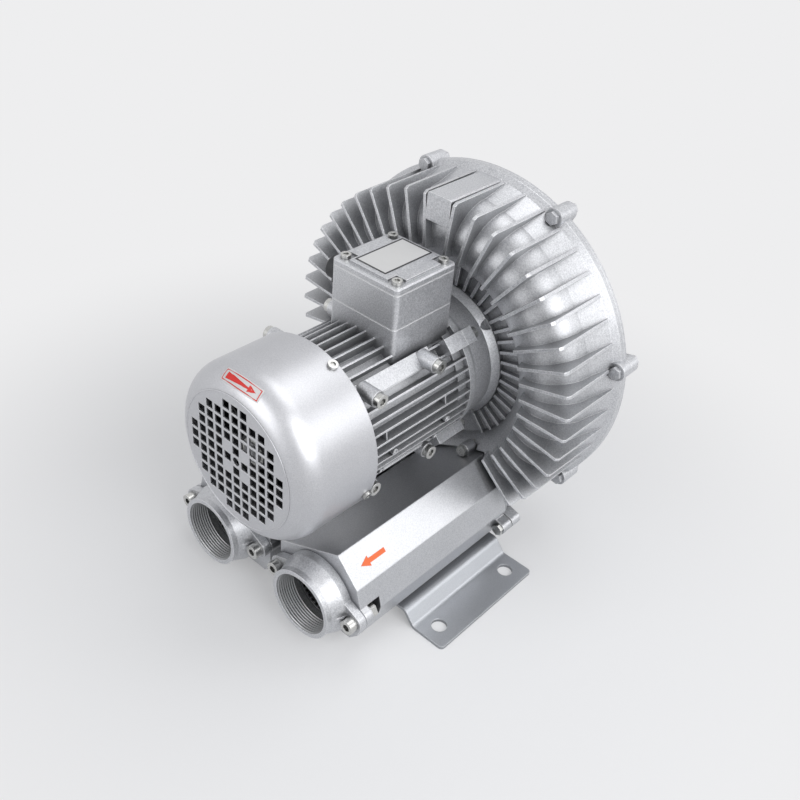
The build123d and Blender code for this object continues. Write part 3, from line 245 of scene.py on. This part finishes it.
blackNylon = surface("mouldedBlackPolyamide", {
    # glass-filled polyamide: black with a fine spark-eroded grain
    "light": "#26272A", "dark": "#1D1E20", "fleckAndEdgeHighlight": "#3A3B3E", "metallic": 0.0, "roughness": 0.48,
    "spread": 0.06, "fleck": 0.2, "rubAndEdgeHighlight": 0.3, "cloudMm": 12, "grainMm": 0.6, "bump": 0.25, "bumpMm": 0.06,
    "edgeMm": 0.4})
turnedBrass = surface("turnedBrass", {
    # turned brass: warm yellow metal
    "light": "#C79B4B", "dark": "#AE853C", "fleckAndEdgeHighlight": "#E2C07A", "metallic": 1.0, "roughness": 0.28,
    "spread": 0.05, "fleck": 0.1, "rubAndEdgeHighlight": 0.4, "cloudMm": 5, "grainMm": 0.5, "bump": 0.05, "bumpMm": 0.03,
    "edgeMm": 0.2})
openFoam = surface("openCellFoam", {
    # open-cell foam: dark, rough and full of pores
    "light": "#3A3B3E", "dark": "#222326", "fleckAndEdgeHighlight": "#55565A", "metallic": 0.0, "roughness": 0.95,
    "spread": 0.03, "fleck": 0.5, "rubAndEdgeHighlight": 0.2, "cloudMm": 2, "grainMm": 1.6, "bump": 0.8, "bumpMm": 0.60,
    "edgeMm": 0.3})
labelFilm = surface("glossyLabelFilm", {
    # printed film: white, smooth, with a slight waviness from the surface under it
    "light": "#D9D9D9", "dark": "#D2D2D2", "fleckAndEdgeHighlight": "#E0E0E0", "metallic": 0.0, "roughness": 0.32,
    "spread": 0.03, "fleck": 0.1, "rubAndEdgeHighlight": 0.0, "cloudMm": 15, "grainMm": 1.5, "bump": 0.05, "bumpMm": 0.04,
    "edgeMm": 0.1})
blackInk = surface("blackScreenInk", {
    # printed frame: satin black ink on film
    "light": "#26262A", "dark": "#1E1E22", "fleckAndEdgeHighlight": "#34343A", "metallic": 0.0, "roughness": 0.4,
    "spread": 0.03, "fleck": 0.1, "rubAndEdgeHighlight": 0.0, "cloudMm": 10, "grainMm": 1.0, "bump": 0.05, "bumpMm": 0.02,
    "edgeMm": 0.1})
redInk = surface("redScreenInk", {
    # printed rotation arrow: opaque red ink
    "light": "#E0322A", "dark": "#CC2620", "fleckAndEdgeHighlight": "#EE5A50", "metallic": 0.0, "roughness": 0.38,
    "spread": 0.03, "fleck": 0.1, "rubAndEdgeHighlight": 0.0, "cloudMm": 8, "grainMm": 0.8, "bump": 0.05, "bumpMm": 0.02,
    "edgeMm": 0.1})
orangeVinyl = surface("orangeVinyl", {
    # cut vinyl flow arrow: flat orange
    "light": "#F07036", "dark": "#E2622A", "fleckAndEdgeHighlight": "#F89060", "metallic": 0.0, "roughness": 0.42,
    "spread": 0.03, "fleck": 0.1, "rubAndEdgeHighlight": 0.0, "cloudMm": 10, "grainMm": 0.8, "bump": 0.05, "bumpMm": 0.02,
    "edgeMm": 0.1})


def perforatedSheet(look):
    # zinc plated tube with rows of punched holes, laid out by angle and length on both ports
    material = surface("perforatedZincSheet", look)
    shader = material.node_tree.nodes["Principled BSDF"]
    place = addNode(material, "ShaderNodeTexCoord", {}).outputs["Object"]
    axes = addNode(material, "ShaderNodeSeparateXYZ", {0: place}).outputs
    found = {"x": axes["X"], "y": axes["Y"], "z": axes["Z"]}
    for name, operation, *values in (
            # each line takes numbers or what earlier lines found
            ("side", "ABSOLUTE", "x"),
            ("across", "SUBTRACT", "side", port["x"] * mm),
            ("height", "SUBTRACT", "z", port["z"] * mm),
            ("angle", "ARCTAN2", "height", "across"),
            ("turn", "MULTIPLY", "angle", look["radius"] / look["pitch"]),
            ("along", "DIVIDE", "y", look["pitch"] * mm),
            ("turnPart", "FRACT", "turn"),
            ("alongPart", "FRACT", "along"),
            ("sideways", "SUBTRACT", "turnPart", 0.5),
            ("lengthways", "SUBTRACT", "alongPart", 0.5),
            ("sidewaysSquare", "MULTIPLY", "sideways", "sideways"),
            ("lengthwaysSquare", "MULTIPLY", "lengthways", "lengthways"),
            ("reachSquare", "ADD", "sidewaysSquare", "lengthwaysSquare"),
            ("reach", "SQRT", "reachSquare")):
        inputs = {i: found.get(value, value) for i, value in enumerate(values)}
        found[name] = addNode(material, "ShaderNodeMath", inputs, operation=operation).outputs[0]
    edge = look["hole"] / look["pitch"] / 2
    hole = addNode(material, "ShaderNodeMapRange", {
        "Value": found["reach"], "From Min": edge + look["blur"], "From Max": edge - look["blur"],
        "To Min": 0.0, "To Max": 1.0}).outputs[0]
    plain = shader.inputs["Base Color"].links[0].from_socket
    colour = addNode(material, "ShaderNodeMix", {
        0: hole, 6: plain, 7: linear(look["darkness"])}, data_type="RGBA").outputs[2]
    metal = addNode(material, "ShaderNodeMath", {0: 1.0, 1: hole}, operation="SUBTRACT").outputs[0]
    material.node_tree.links.new(colour, shader.inputs["Base Color"])
    material.node_tree.links.new(metal, shader.inputs["Metallic"])
    return material


meshSheet = perforatedSheet({
    "light": "#B8B8B6", "dark": "#A2A2A0", "fleckAndEdgeHighlight": "#D8D8D6", "metallic": 1.0, "roughness": 0.32,
    "spread": 0.06, "fleck": 0.2, "rubAndEdgeHighlight": 0.2, "cloudMm": 10, "grainMm": 0.8, "bump": 0.08, "bumpMm": 0.05,
    "edgeMm": 0.2, "radius": 27.0, "pitch": 4.71, "hole": 3.2, "blur": 0.04, "darkness": "#0C0C0D"})
print("materials:", len(bpy.data.materials))

finishes = {
    castPaint: ("blower_housing", "housing_cover", "motor_frame", "drive_end_shield", "rear_end_shield",
                "terminal_box_body", "terminal_lid", "inlet_flange", "outlet_flange",
                "casing_bolts", "casing_nuts"),
    diePaint: ("inlet_silencer", "outlet_silencer"),
    sheetPaint: ("fan_cover",),
    footPaint: ("foot_plate",),
    # the terminal box's seams take the lighter seam paint, a painted highlight along the seams
    seamPaint: ("box_gasket", "lid_gasket"),
    jointPaint: ("inlet_flange_gasket", "outlet_flange_gasket", "joint_gaskets"),
    rawCasting: ("impeller", "rotor_core"),
    zincSteel: ("boss_screws", "shield_screws", "rear_shield_screws", "fan_cover_screws", "lid_screws",
                "flange_screws", "flange_nuts", "joint_screws", "foot_screws",
                "impeller_bolt", "impeller_washer", "impeller_key", "fan_clip"),
    groundSteel: ("front_bearing_outer_ring", "rear_bearing_outer_ring", "front_bearing_inner_ring",
                  "front_bearing_balls", "rear_bearing_inner_ring", "rear_bearing_balls", "wave_spring",
                  "rotor_shaft"),
    ironSheet: ("stator_core",),
    copperWire: ("stator_windings",),
    blackRubber: ("shaft_seal",),
    blackNylon: ("terminal_block", "cable_gland", "blanking_plug", "cooling_fan"),
    turnedBrass: ("terminal_studs",),
    openFoam: ("inlet_foam_liner", "outlet_foam_liner"),
    meshSheet: ("inlet_mesh_tube", "outlet_mesh_tube"),
}
for material, names in finishes.items():
    for name in names:
        nodes[name].data.materials.clear()
        nodes[name].data.materials.append(material)
print("frame nodes finished")


# pipe thread in the two ports
portThread = {"minorRadius": 28.3, "depth": 0.95, "pitch": 2.309, "halfRidge": 0.45, "sink": 0.02,
              "firstY": -144.9, "turns": 8, "steps": 96}


def buildPortThread(side, name):
    # one triangular ridge, wound along the bore
    p = portThread
    bpy.ops.mesh.primitive_circle_add(vertices=3, radius=p["depth"] * mm, fill_type="NGON")
    ridge = bpy.context.object
    root = p["minorRadius"] + p["sink"]
    half = p["pitch"] * p["halfRidge"]
    outline = ((root, -half), (root - p["depth"], 0.0), (root, half))
    for vertex, (radius, along) in zip(ridge.data.vertices, outline):
        vertex.co = Vector((radius, along, 0)) * mm
    applyModifier(ridge, "SCREW", axis="Y", angle=2 * pi, screw_offset=p["pitch"] * mm, iterations=p["turns"],
                  steps=p["steps"], render_steps=p["steps"], use_merge_vertices=False, use_smooth_shade=False)
    activate(ridge)
    bpy.ops.object.mode_set(mode="EDIT")
    bpy.ops.mesh.select_all(action="SELECT")
    bpy.ops.mesh.normals_make_consistent(inside=False)
    bpy.ops.object.mode_set(mode="OBJECT")
    placeInMesh(ridge, Matrix.Translation(Vector((side * port["x"], p["firstY"], port["z"])) * mm))
    finishPiece(ridge, name, rawCasting)


buildPortThread(-1, "inletPortThread")
buildPortThread(1, "outletPortThread")


# flat shapes: stickers and arrows
# the gap under a film on the node and under print on a film; an arrow's tip is squeezed and then welded
films = {"thickness": 0.06, "onNode": 0.08, "onFilm": 0.16, "tip": 0.001, "weld": 0.02}


def flatSheet(length, width, cuts=0):
    bpy.ops.mesh.primitive_plane_add(size=1)
    sheet = bpy.context.object
    sheet.scale = (length * mm, width * mm, 1)
    placeInMesh(sheet)
    if cuts:
        bpy.ops.object.mode_set(mode="EDIT")
        bpy.ops.mesh.select_all(action="SELECT")
        bpy.ops.mesh.subdivide(number_cuts=cuts)
        bpy.ops.object.mode_set(mode="OBJECT")
    return sheet


def flatFrame(length, width, line, cuts=0):
    # a sheet with its middle taken out
    sheet = flatSheet(length, width)
    bpy.ops.object.mode_set(mode="EDIT")
    bpy.ops.mesh.select_all(action="SELECT")
    bpy.ops.mesh.inset(thickness=line * mm)
    bpy.ops.mesh.delete(type="FACE")
    bpy.ops.mesh.select_all(action="SELECT")
    if cuts:
        bpy.ops.mesh.subdivide(number_cuts=cuts)
    bpy.ops.object.mode_set(mode="OBJECT")
    return sheet


def flatArrow(length, shaft, headLength, headWidth, tail, cuts=0):
    # a strip along X, as wide as the tail at its start, whose end widens into the head and closes to the tip
    arrow = flatSheet(length - headLength, shaft)
    selectPoints(arrow, lambda co: co.x < 0)
    bpy.ops.transform.resize(value=(1, tail / shaft, 1))
    bpy.ops.object.mode_set(mode="OBJECT")
    selectPoints(arrow, lambda co: co.x > 0)
    bpy.ops.mesh.extrude_region_move()
    bpy.ops.transform.resize(value=(1, headWidth / shaft, 1))
    bpy.ops.mesh.extrude_region_move(TRANSFORM_OT_translate={"value": (headLength * mm, 0, 0)})
    bpy.ops.transform.resize(value=(1, films["tip"], 1))
    bpy.ops.mesh.select_all(action="SELECT")
    bpy.ops.mesh.remove_doubles(threshold=films["weld"] * mm)
    bpy.ops.mesh.dissolve_degenerate(threshold=films["weld"] * mm)
    if cuts:
        bpy.ops.mesh.subdivide(number_cuts=cuts)
    bpy.ops.mesh.select_all(action="SELECT")
    bpy.ops.transform.translate(value=(-headLength / 2 * mm, 0, 0))
    bpy.ops.object.mode_set(mode="OBJECT")
    return arrow


def stickOn(piece, target, matrix, height):
    # each point goes to the nearest place outside the node, and the sheet then gets the film's thickness
    placeInMesh(piece, matrix)
    applyModifier(piece, "SHRINKWRAP", target=target, wrap_method="NEAREST_SURFACEPOINT",
                  wrap_mode="OUTSIDE_SURFACE", offset=films[height] * mm)
    applyModifier(piece, "SOLIDIFY", thickness=films["thickness"] * mm, offset=1.0)


def standing(place, alongX, normal):
    # matrix that lays a flat shape down with its length along one direction and its face along another
    z = Vector(normal).normalized()
    x = Vector(alongX)
    x = (x - z * x.dot(z)).normalized()
    y = z.cross(x)
    rotation = Matrix((x, y, z)).transposed().to_4x4()
    return Matrix.Translation(Vector(place) * mm) @ rotation


# the plane starts above the highest point of the rounded shoulder, so that every point lands on its outside
# an arrow's numbers are its length, shaft width, head length, head width and tail width
rotationSticker = {"place": (0, -157.2, 246.4), "normal": (0, -0.70, 0.71), "length": 44.0, "width": 13.5,
                   "margin": 1.3, "line": 0.8, "arrow": (34.0, 1.8, 8.5, 6.6, 6.8),
                   "filmCuts": 20, "borderCuts": 14, "arrowCuts": 10}


def buildRotationSticker():
    s = rotationSticker
    at = standing(s["place"], (1, 0, 0), s["normal"])
    cover = nodes["fan_cover"]
    film = flatSheet(s["length"], s["width"], s["filmCuts"])
    stickOn(film, cover, at, "onNode")
    finishPiece(film, "rotationStickerFilm", labelFilm)
    border = flatFrame(
        s["length"] - 2 * s["margin"], s["width"] - 2 * s["margin"], s["line"], s["borderCuts"])
    stickOn(border, cover, at, "onFilm")
    finishPiece(border, "rotationStickerBorder", redInk)
    arrow = flatArrow(*s["arrow"], s["arrowCuts"])
    stickOn(arrow, cover, at, "onFilm")
    finishPiece(arrow, "rotationStickerArrow", redInk)


buildRotationSticker()

flowArrow = {"place": (86.9, -93.0, 86.7), "normal": (1, 0, 1),
             "shape": (28.0, 4.2, 9.5, 9.4, 4.2), "cuts": 3}


def buildFlowArrow():
    s = flowArrow
    arrow = flatArrow(*s["shape"], s["cuts"])
    stickOn(arrow, nodes["outlet_silencer"], standing(s["place"], (0, -1, 0), s["normal"]), "onNode")
    finishPiece(arrow, "outletFlowArrow", orangeVinyl)


buildFlowArrow()

# the plane starts half a millimetre above the lid, so that every point lands on its outside
lidLabel = {"place": (-2.4, 7.2, 291.5), "length": 56.0, "width": 33.0, "line": 1.5}


def buildLidLabel():
    s = lidLabel
    at = standing(s["place"], (0, 1, 0), (0, 0, 1))
    film = flatSheet(s["length"], s["width"])
    stickOn(film, nodes["terminal_lid"], at, "onNode")
    finishPiece(film, "lidLabelFilm", labelFilm)
    border = flatFrame(s["length"], s["width"], s["line"])
    stickOn(border, nodes["terminal_lid"], at, "onFilm")
    finishPiece(border, "lidLabelBorder", blackInk)


buildLidLabel()

# raised ring where the grille meets the cover's shoulder
grilleRing = {"radius": 59.6, "bead": 0.8, "squash": 0.6, "y": -160.9, "steps": 160, "beadSteps": 10}


def buildGrilleRing():
    s = grilleRing
    bpy.ops.mesh.primitive_torus_add(
        major_radius=s["radius"] * mm, minor_radius=s["bead"] * mm, major_segments=s["steps"],
        minor_segments=s["beadSteps"], location=(0, s["y"] * mm, shaftHeight), rotation=(radians(90), 0, 0))
    ring = bpy.context.object
    ring.scale = (1, 1, s["squash"])
    placeInMesh(ring)
    finishPiece(ring, "grilleRing", sheetPaint, smoothDegrees=60)


buildGrilleRing()

# ejector pads on the frame's fins: reach is from the shaft's axis to the rim, and each place an angle and y
finPads = {"radius": 3.0, "length": 7.0, "reach": 67.2, "ring": 0.9, "step": 0.2, "sink": 0.9, "sides": 20,
           "places": ((-9.2, -51.9), (-9.2, 13.2), (-27.0, -60.0), (-27.0, 8.0))}


def buildFinPads():
    s = finPads
    bpy.ops.mesh.primitive_cylinder_add(vertices=s["sides"], radius=s["radius"] * mm, depth=s["length"] * mm)
    pad = bpy.context.object
    selectPoints(pad, lambda co: co.z > 0)
    bpy.ops.mesh.select_mode(type="FACE")
    bpy.ops.mesh.inset(thickness=s["ring"] * mm)
    bpy.ops.mesh.inset(thickness=s["step"] * mm, depth=-s["sink"] * mm)
    bpy.ops.object.mode_set(mode="OBJECT")
    pieces = []
    for side in (-1, 1):
        for angle, y in s["places"]:
            turn = radians(angle if side > 0 else 180 - angle)
            outward = Vector((cos(turn), 0, sin(turn)))
            place = outward * (s["reach"] - s["length"] / 2) + Vector((0, y, shaftHeight / mm))
            pieces.append(copyOf(pad))
            placeInMesh(pieces[-1], standing(place, (0, 1, 0), outward))
    bpy.data.objects.remove(pad)
    finishPiece(joinPieces(pieces), "frameFinPads", castPaint, smoothDegrees=40)


buildFinPads()

# small webs that tie two fins together: middle is their distance from the shaft's axis, and places are in y
finWebs = {"angle": 9.0, "middle": 61.5, "radial": 7.4, "around": 9.2, "thickness": 1.8, "crest": 0.6,
           "edge": 0.35, "places": (-62.0, 10.0)}


def buildFinWebs():
    s = finWebs
    bpy.ops.mesh.primitive_cube_add(size=1)
    web = bpy.context.object
    web.scale = (s["around"] * mm, s["thickness"] * mm, s["radial"] * mm)
    placeInMesh(web)
    selectPoints(web, lambda co: co.z > 0)
    bpy.ops.transform.resize(value=(1, s["crest"], 1))
    bpy.ops.object.mode_set(mode="OBJECT")
    applyModifier(web, "BEVEL", width=s["edge"] * mm, segments=2)
    pieces = []
    for side in (-1, 1):
        turn = radians(s["angle"] if side > 0 else 180 - s["angle"])
        outward = Vector((cos(turn), 0, sin(turn)))
        for y in s["places"]:
            place = outward * s["middle"] + Vector((0, y, shaftHeight / mm))
            pieces.append(copyOf(web))
            placeInMesh(pieces[-1], standing(place, (-sin(turn), 0, cos(turn)), outward))
    bpy.data.objects.remove(web)
    finishPiece(joinPieces(pieces), "frameFinWebs", castPaint, smoothDegrees=40)


buildFinWebs()


# camera, floor and light, with places in metres
view = {"place": (0.4385, -0.5104, 0.6464), "turn": (53.6928, -4.3978, 42.3359), "lens": 42.68,
        "sensor": 36}
bpy.ops.object.camera_add(location=view["place"], rotation=[radians(angle) for angle in view["turn"]])
camera = bpy.context.object
camera.data.lens = view["lens"]
camera.data.sensor_width = view["sensor"]
bpy.context.scene.camera = camera

studio = {"floorColour": "#E6E7E9", "farColour": "#EEEEEF", "worldColour": "#E4E6EA", "worldStrength": 0.30,
          "floorSize": 16, "floorRoughness": 0.9, "fadeRange": (0.18, 0.60), "leastFade": 0.35,
          "aim": (0, 0, 0.16),
          "lamps": (  # name, place, size, watts
              ("keyLamp", (1.25, -0.25, 0.95), 1.0, 13),
              ("sideLamp", (1.30, 0.98, 0.98), 1.0, 5),
              ("frontLamp", (-0.35, -1.45, 0.80), 1.1, 8),
              ("topLamp", (0.10, 0.35, 1.5), 0.9, 5))}


def lookingRays(owner):
    # camera, glossy and transmission rays, which see the plain background also in metal
    rays = addNode(owner, "ShaderNodeLightPath", {})
    mirrored = addNode(owner, "ShaderNodeMath", {
        0: rays.outputs["Is Glossy Ray"], 1: rays.outputs["Is Transmission Ray"]}, operation="MAXIMUM")
    return addNode(owner, "ShaderNodeMath", {
        0: rays.outputs["Is Camera Ray"], 1: mirrored.outputs[0]}, operation="MAXIMUM").outputs[0]


def buildFloor():
    # the floor keeps the shadow close to the object and fades to the plain pale background further out
    bpy.ops.mesh.primitive_plane_add(size=studio["floorSize"], location=(0, 0, 0))
    floor = bpy.context.object
    placeInMesh(floor)
    floor.name = "paleFloor"
    paint = bpy.data.materials.new("mattFloorPaint")
    paint.use_nodes = True
    shader = paint.node_tree.nodes["Principled BSDF"]
    shader.inputs["Base Color"].default_value = linear(studio["floorColour"])
    shader.inputs["Roughness"].default_value = studio["floorRoughness"]
    place = addNode(paint, "ShaderNodeTexCoord", {}).outputs["Object"]
    away = addNode(paint, "ShaderNodeVectorMath", {0: place}, operation="LENGTH").outputs["Value"]
    fade = addNode(paint, "ShaderNodeMapRange", {
        "Value": away, "From Min": studio["fadeRange"][0], "From Max": studio["fadeRange"][1],
        "To Min": studio["leastFade"], "To Max": 1.0}, interpolation_type="SMOOTHSTEP").outputs[0]
    seen = addNode(paint, "ShaderNodeMath", {0: lookingRays(paint), 1: fade}, operation="MULTIPLY")
    plain = addNode(paint, "ShaderNodeEmission", {"Color": linear(studio["farColour"]), "Strength": 1.0})
    mix = addNode(paint, "ShaderNodeMixShader", {
        0: seen.outputs[0], 1: shader.outputs[0], 2: plain.outputs[0]})
    paint.node_tree.links.new(mix.outputs[0], paint.node_tree.nodes["Material Output"].inputs["Surface"])
    floor.data.materials.append(paint)


def buildWorld():
    world = bpy.data.worlds.new("softStudio")
    bpy.context.scene.world = world
    world.use_nodes = True
    world.node_tree.nodes.clear()
    soft = addNode(world, "ShaderNodeBackground", {
        "Color": linear(studio["worldColour"]), "Strength": studio["worldStrength"]})
    plain = addNode(world, "ShaderNodeBackground", {"Color": linear(studio["farColour"]), "Strength": 1.0})
    mix = addNode(world, "ShaderNodeMixShader", {
        0: lookingRays(world), 1: soft.outputs[0], 2: plain.outputs[0]})
    addNode(world, "ShaderNodeOutputWorld", {"Surface": mix.outputs[0]})


def buildLamps():
    for name, place, size, watts in studio["lamps"]:
        bpy.ops.object.light_add(type="AREA", location=place)
        lamp = bpy.context.object
        lamp.name = name
        lamp.data.size = size
        lamp.data.energy = watts
        aim = Vector(studio["aim"]) - Vector(place)
        lamp.rotation_euler = aim.to_track_quat("-Z", "Y").to_euler()


buildFloor()
buildWorld()
buildLamps()
bpy.context.scene.view_settings.view_transform = "Standard"
print("studio ready")
